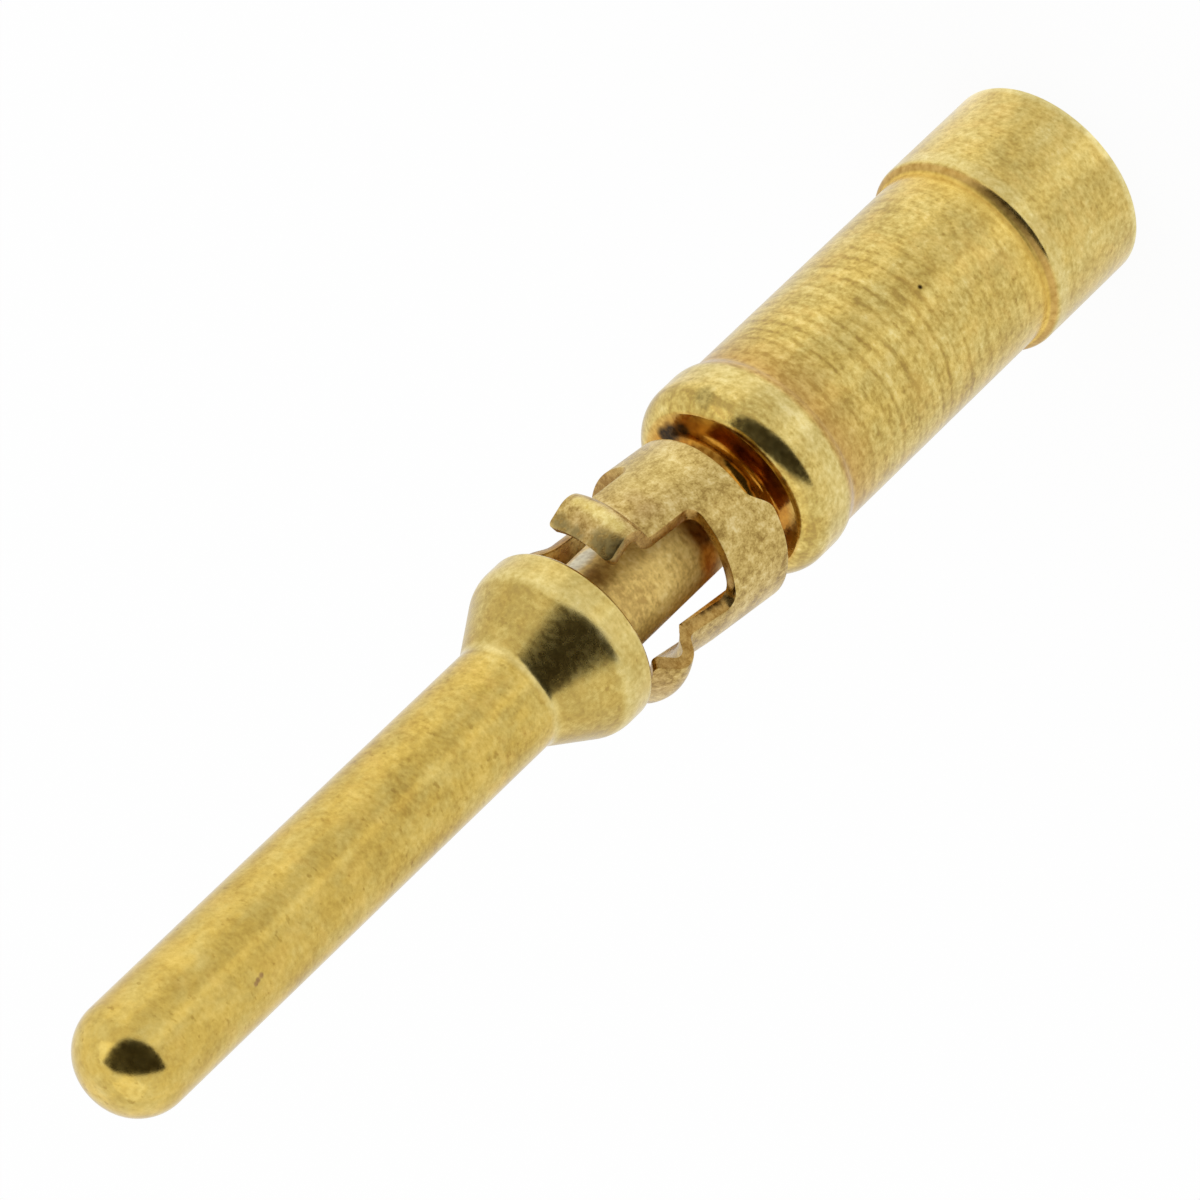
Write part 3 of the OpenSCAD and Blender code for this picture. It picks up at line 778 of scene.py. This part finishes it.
def clip_material():
    """Matte, paler plating of the stamped clip, browner on the tines and the cut edges."""
    tree = Tree("clip plating")
    noise = {name: tree.noise(*values) for name, values in CLIP_NOISES.items()}
    mottle = noise["mottle"]
    tone = tree.total(
        0.5, (mottle, MOTTLE_TONE), (noise["patches"], CLIP_PATCHES_TONE),
        (noise["grain"], CLIP_GRAIN_TONE))
    shades = {name: tree.ramp(tone, stops) for name, stops in CLIP_SHADES.items()}
    rust_and_shade = tree.math("MULTIPLY", tree.share("tine"), TINE_RUST)
    colour = tree.blend(rust_and_shade, shades["plate"], shades["rust"])
    colour = tree.blend(tree.share("cut"), colour, shades["edge"])
    # Brown patches with painted shade, a painted crest highlight, orange and a paler ring
    for name, share, spots in CLIP_MARKS:
        colour = tree.spotted(colour, shades[name], share, spots)
    shades = {name: tree.ramp(noise[by], stops) for name, (by, stops) in CLIP_MARK_SHADES.items()}
    colour = tree.spotted(colour, shades["dark"], tree.span(mottle, *STAIN_SPAN), CLIP_STAINS)
    # Painted shadow along a tine's cut edge
    colour = tree.spotted(colour, shades["brown"], 1, EDGE_PAINTED_SHADOW)

    tree.link(colour, tree.shader.inputs["Base Color"])
    tree.shader.inputs["Metallic"].default_value = 1.0
    tree.link(tree.total(CLIP_ROUGH, (mottle, MOTTLE_ROUGH)), tree.shader.inputs["Roughness"])
    tree.bump(mottle, CLIP_RELIEF)
    return tree.material


# Floor: a disc with a hub, with radii in metres and a step in degrees
FLOOR_RADII, FLOOR_STEP = (0.001, 0.8), 2
FLOOR_WHITE, FLOOR_ROUGH = (0.86, 0.86, 0.86), 0.9
FLOOR_GLOW = 0.92
# What the metal mirrors of the floor, by azimuth: brighter and dimmer sides of the studio
FLOOR_SIDES = [
    (-180, 0.91), (-110, 0.90), (-84, 0.94), (-36, 0.95), (-31, 0.88), (-16, 0.90), (-12, 1.08),
    (1, 1.08), (4, 0.91), (20, 0.86), (45, 0.92), (52, 1.10), (80, 1.16), (100, 1.08),
    (125, 0.97), (180, 0.91)]
# Dark open front of the studio round the camera: its distance in metres from the object's
# middle, its own middle as azimuth and elevation, and its rim, where it is full and where it
# has faded out
CENTRE = Vector((0, 0, 0.0098))
FRONT_DISTANCE = 0.3
FRONT_GREY, FRONT_ROUGH = (0.05, 0.047, 0.042), 1.0
FRONT_MIDDLE = (-5, 45)
FRONT_RIM = [
    ((-54, -1), (-57, -4)), ((-29, -1), (-29, -4)), ((-8, 2), (-8, -2)), ((4, 6), (7, 2)),
    ((16, 14), (21, 10)), ((26, 19), (34, 15)), ((34, 28), (45, 27)), ((50, 47), (60, 45)),
    ((66, 62), (76, 59)), ((98, 68), (117, 65)), ((66, 84), (120, 87)), ((-38, 67), (-50, 68)),
    ((-47, 31), (-52, 31))]
# Soft lights: name, place and size in metres, power in watts
LIGHTS = (("key_light", (0.22, -0.12, 0.42), 0.35, 0.16),
          ("fill_light", (-0.25, 0.05, 0.45), 0.4, 0.10))


def direction(azimuth, elevation):
    """Unit vector; azimuth 0 is towards the camera and grows towards +X, both in degrees."""
    flat = cos(elevation)
    return Vector((flat * sin(azimuth), -flat * cos(azimuth), sin(elevation)))


def matte_tree(name, colour, rough):
    """Nodes of a plain material without gloss."""
    tree = Tree(name)
    tree.shader.inputs["Base Color"].default_value = (*colour, 1)
    tree.shader.inputs["Roughness"].default_value = rough
    tree.shader.inputs["Specular IOR Level"].default_value = 0.0
    return tree


def floor_material():
    """White paper: it glows evenly where it is seen or mirrored, and keeps some of the shadow."""
    tree = matte_tree("floor paper", FLOOR_WHITE, FLOOR_ROUGH)
    path = tree.nodes.new("ShaderNodeLightPath").outputs
    seen = tree.math("ADD", path["Is Camera Ray"], path["Is Glossy Ray"])
    seen = tree.math("MINIMUM", tree.math("ADD", seen, path["Is Transmission Ray"]), 1)
    glow = tree.nodes.new("ShaderNodeEmission")
    side = tree.math("SUBTRACT", tree.share("side"), 1)
    tree.link(tree.math("MULTIPLY_ADD", side, path["Is Glossy Ray"], 1), glow.inputs["Strength"])
    glowing = tree.math("MULTIPLY", seen, FLOOR_GLOW)
    tree.surface(glowing, tree.shader.outputs["BSDF"], glow.outputs["Emission"])
    return tree.material


def front_material():
    """Dark where the rim's share is 1, clear where it is 0."""
    tree = matte_tree("dark front", FRONT_GREY, FRONT_ROUGH)
    clear = tree.nodes.new("ShaderNodeBsdfTransparent")
    tree.surface(tree.share("full"), clear.outputs["BSDF"], tree.shader.outputs["BSDF"])
    return tree.material


def level(stops, at):
    """The value at a place in a list of (place, value)."""
    for (a, va), (b, vb) in zip(stops, stops[1:]):
        if a <= at <= b:
            return va + (vb - va) * (at - a) / (b - a)


def studio_object(name, verts, faces, share, values):
    """A piece of the studio, in metres, with a named value at each point."""
    mesh = bpy.data.meshes.new(name)
    mesh.from_pydata(verts, [], faces)
    mesh.attributes.new(share, "FLOAT", "POINT").data.foreach_set("value", values)
    obj = bpy.data.objects.new(name, mesh)
    bpy.context.scene.collection.objects.link(obj)
    return obj


def build_floor():
    """The white floor."""
    turns = range(-180, 180, FLOOR_STEP)
    count = len(turns)
    verts = [direction(turn, 0) * radius for radius in FLOOR_RADII for turn in turns]
    faces = [tuple(range(count))]
    for i in range(count):
        a, b = i, (i + 1) % count
        faces.append((a, b, b + count, a + count))
    sides = [level(FLOOR_SIDES, turn) for turn in turns]
    floor = studio_object("floor", verts, faces, "side", sides * 2)
    floor.data.materials.append(floor_material())
    return floor


def build_front():
    """The dark front: a fan with a fading rim, which only mirrors show."""
    count = len(FRONT_RIM)
    fulls, fades = zip(*FRONT_RIM)
    verts = [CENTRE + direction(*edge) * FRONT_DISTANCE
             for edge in (FRONT_MIDDLE, *fulls, *fades)]
    faces = []
    for i in range(count):
        a, b = 1 + i, 1 + (i + 1) % count
        faces += [(0, a, b), (a, a + count, b + count, b)]
    values = [1.0] * (1 + count) + [0.0] * count
    front = studio_object("dark_front", verts, faces, "full", values)
    front.data.materials.append(front_material())
    front.visible_camera = False
    front.visible_diffuse = False
    front.visible_shadow = False
    front.visible_transmission = False
    return front


def build_studio():
    """Floor, dark front, two soft lights and an even white surrounding."""
    floor, front = build_floor(), build_front()

    for name, place, size, power in LIGHTS:
        lamp = bpy.data.lights.new(name, "AREA")
        lamp.size = size
        lamp.energy = power
        obj = bpy.data.objects.new(name, lamp)
        obj.location = place
        obj.rotation_euler = (CENTRE - Vector(place)).to_track_quat("-Z", "Y").to_euler()
        bpy.context.scene.collection.objects.link(obj)

    world = bpy.data.worlds.new("studio")
    world.use_nodes = True
    background = world.node_tree.nodes["Background"]
    background.inputs["Color"].default_value = (1, 1, 1, 1)
    background.inputs["Strength"].default_value = 1.0
    bpy.context.scene.world = world


# Camera fitted to the photo's outline: place, axes, focal length and sensor's width, with
# lengths in millimetres; then the nearest and farthest distance that it sees, in metres
CAMERA_PLACE = (0.0767, -89.73, 65.96)
CAMERA_RIGHT = (-0.69211, -0.38411, -0.61110)
CAMERA_UP = (0.72179, -0.36832, -0.58597)
CAMERA_BACK = (0, -0.84664, 0.53216)
CAMERA_LENS, CAMERA_SENSOR = 250.98, 36
CAMERA_NEAR, CAMERA_FAR = 0.001, 10


def build_camera():
    """The photo's camera."""
    camera = bpy.data.cameras.new("camera")
    camera.sensor_width = CAMERA_SENSOR
    camera.lens = CAMERA_LENS
    camera.clip_start = CAMERA_NEAR
    camera.clip_end = CAMERA_FAR
    obj = bpy.data.objects.new("camera", camera)
    axes = Matrix((CAMERA_RIGHT, CAMERA_UP, CAMERA_BACK)).transposed().to_4x4()
    obj.matrix_world = Matrix.Translation(Vector(CAMERA_PLACE) * MM) @ axes
    bpy.context.scene.collection.objects.link(obj)
    bpy.context.scene.camera = obj


build_camera()
build_studio()

turned_body = build_body()
turned_body.data.materials.append(body_material())
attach(turned_body, "contact")
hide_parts("contact_body")

formed_clip = build_clip()
formed_clip.data.materials.append(clip_material())
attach(formed_clip, "clip")
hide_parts("retention_clip")

view = bpy.context.scene.view_settings
view.view_transform = "Standard"
